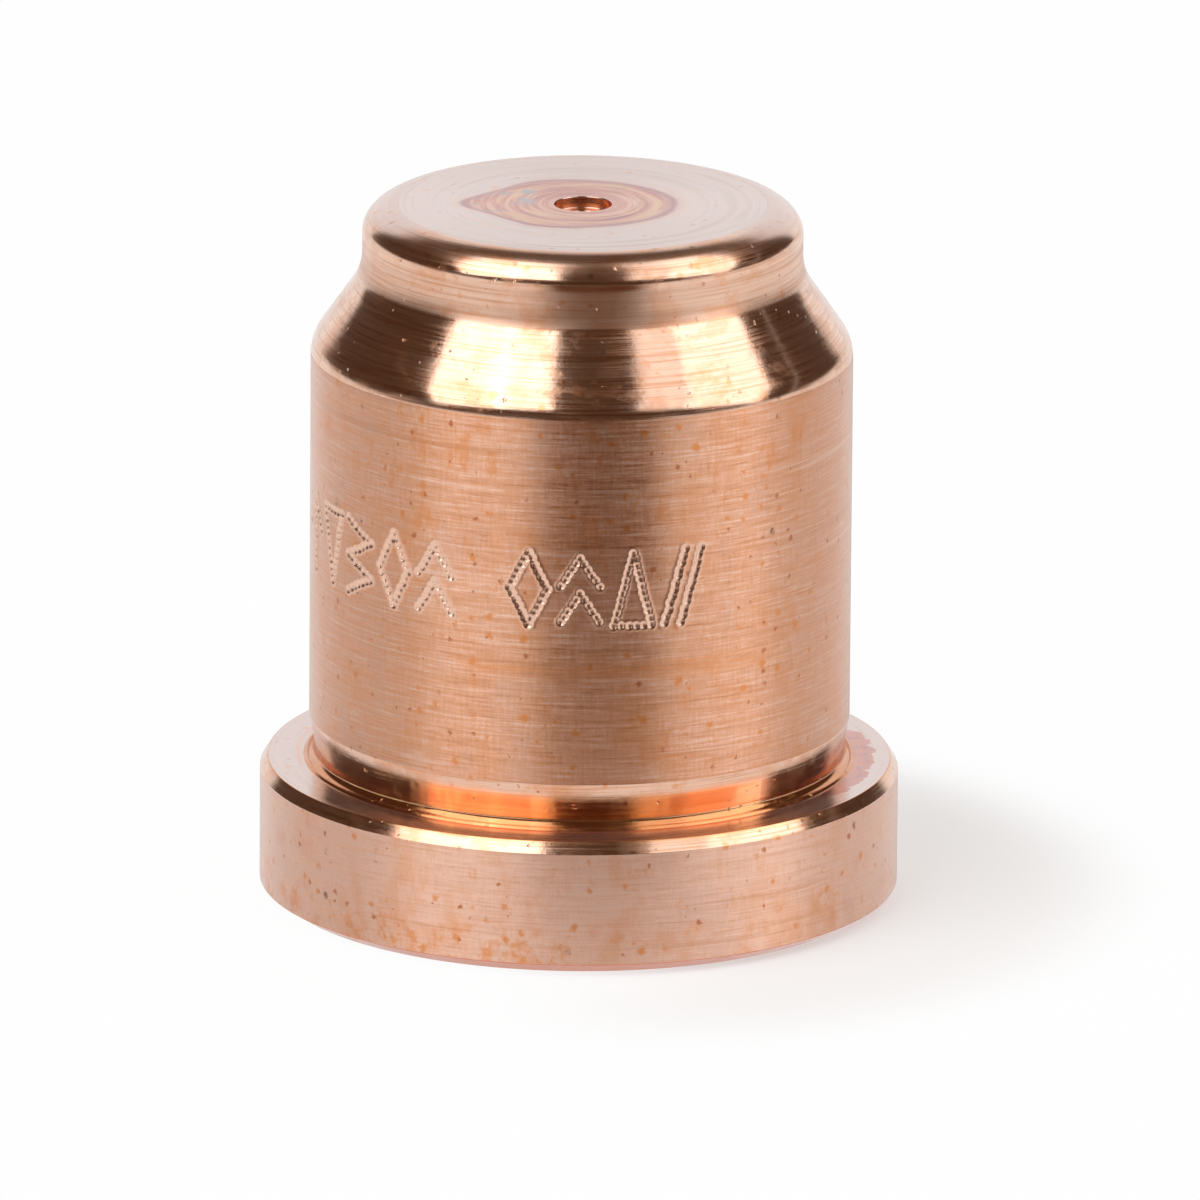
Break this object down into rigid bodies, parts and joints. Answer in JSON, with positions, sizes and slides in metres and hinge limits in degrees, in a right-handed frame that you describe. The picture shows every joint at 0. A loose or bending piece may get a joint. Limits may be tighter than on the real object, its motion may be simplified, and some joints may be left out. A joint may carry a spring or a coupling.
{
  "type": "plasma torch nozzle",
  "caption": "Round copper torch nozzle with a flanged open end, plain body, conical shoulder, flat tip and a central orifice.",
  "frame": {"origin": "centre of the flange's flat end face", "axes": "+Z along the nozzle's axis, from the flange's end face towards the tip"},
  "size_m": [0.019, 0.019, 0.021],
  "materials": {
    "copper": "bare turned copper, brushed on the body and bright on the cone, with handling stains and heat tint"
  },
  "bodies": {
    "root": {"nozzle": "copper"}
  },
  "joints": []
}
